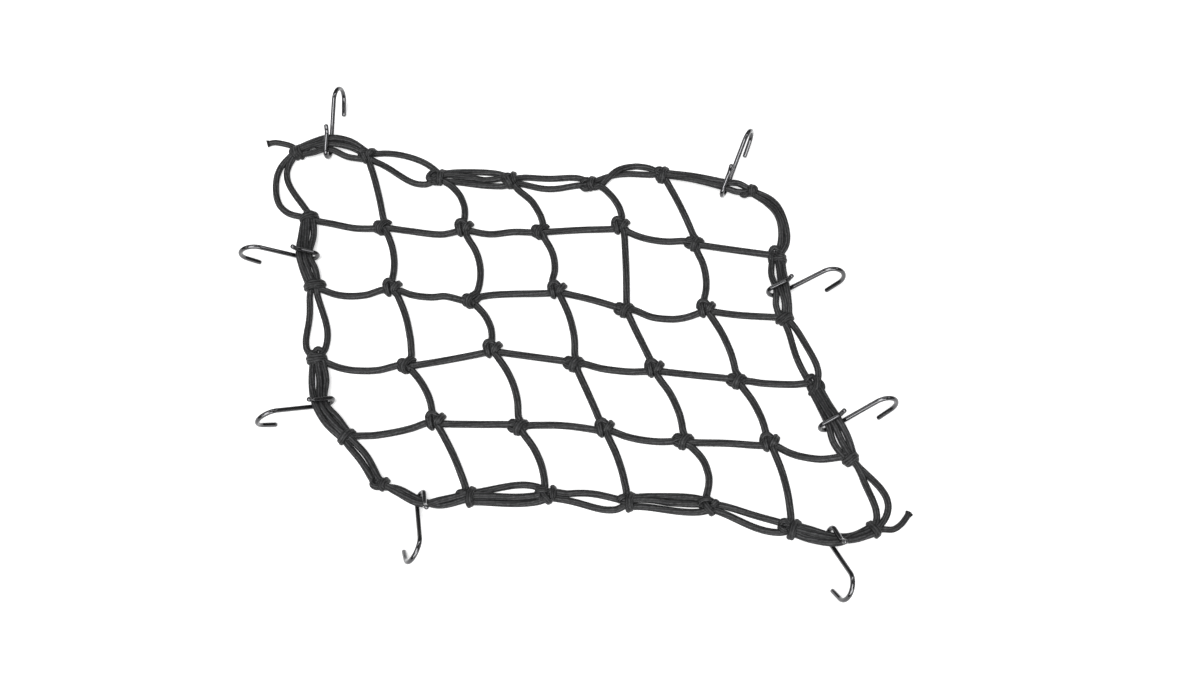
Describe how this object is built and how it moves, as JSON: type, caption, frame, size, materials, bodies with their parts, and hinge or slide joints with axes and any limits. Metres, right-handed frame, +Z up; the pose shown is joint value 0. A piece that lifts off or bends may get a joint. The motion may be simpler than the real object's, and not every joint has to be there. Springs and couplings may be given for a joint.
{
  "type": "cargo net",
  "caption": "Slack hand-knotted elastic cargo net of black shock cord, laid flat, with bent-wire hooks clipped round its multi-strand rim.",
  "frame": {"origin": "middle of the bounding box's footprint, on the surface that the net lies on", "axes": "+X to the right along the top and bottom rims' general run (the longest extent), +Y away towards the top rim, +Z up from the surface"},
  "size_m": [0.5106, 0.4502, 0.0299],
  "materials": {
    "cord": "matte braided black sheath with fine grey flecks",
    "wire": "glossy black plated wire"
  },
  "bodies": {
    "root": {"net": "cord", "hook_top_left": "wire", "hook_top_right": "wire", "hook_right_upper": "wire", "hook_right_lower": "wire", "hook_left_upper": "wire", "hook_left_lower": "wire", "hook_bottom_left": "wire", "hook_bottom_right": "wire"}
  },
  "joints": []
}
